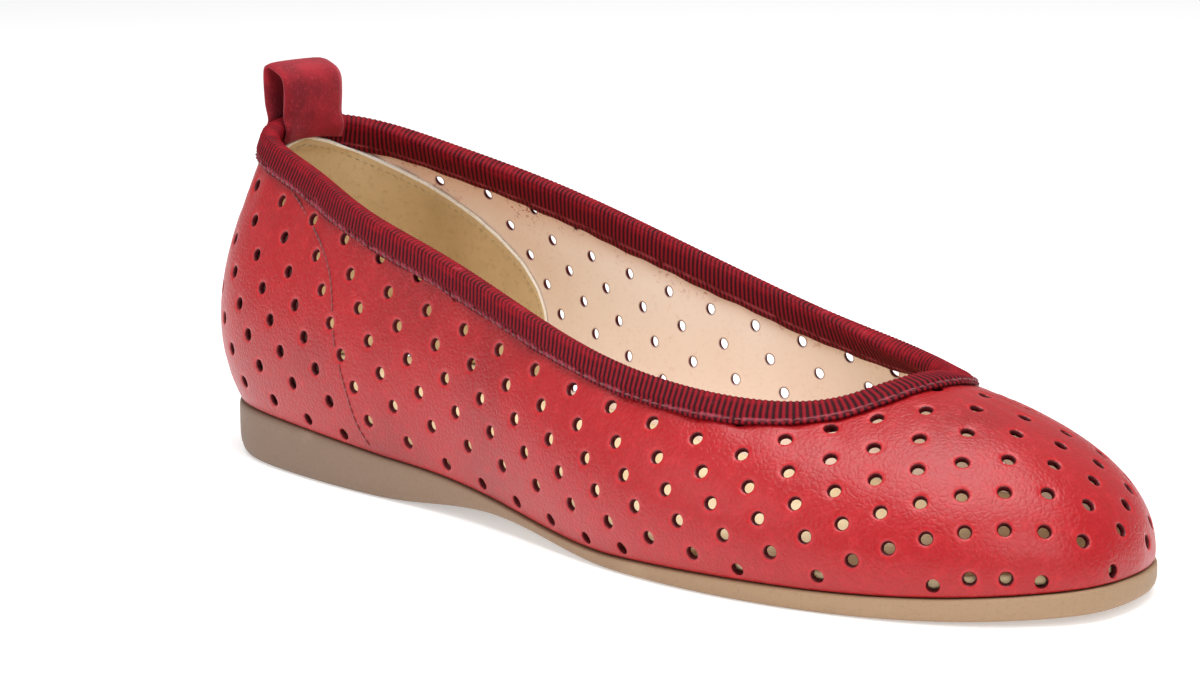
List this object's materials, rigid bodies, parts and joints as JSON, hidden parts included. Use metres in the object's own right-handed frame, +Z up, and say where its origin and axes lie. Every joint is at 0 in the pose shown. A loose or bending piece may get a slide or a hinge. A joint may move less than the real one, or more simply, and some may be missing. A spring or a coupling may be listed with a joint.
{
  "type": "flat shoe",
  "caption": "Right ballet flat in perforated red leather with a burgundy ribbon round the topline, a pull loop at the back and a thin low-heeled rubber sole",
  "frame": {"origin": "On the floor, under the middle of the shoe's overall box", "axes": "+X to the toe, +Y to the wearer's left, which is the inner side of this right shoe, +Z up"},
  "size_m": [0.2504, 0.0862, 0.0876],
  "materials": {
    "sole_rubber": "matt",
    "sock_leather": "matt",
    "upper_leather": "soft sheen",
    "ribbon": "ribbed",
    "loop_leather": "soft sheen"
  },
  "bodies": {
    "root": {"outsole": "sole_rubber", "insole": "sock_leather", "upper": "upper_leather", "collar_binding": "ribbon", "pull_loop": "loop_leather"}
  },
  "joints": []
}
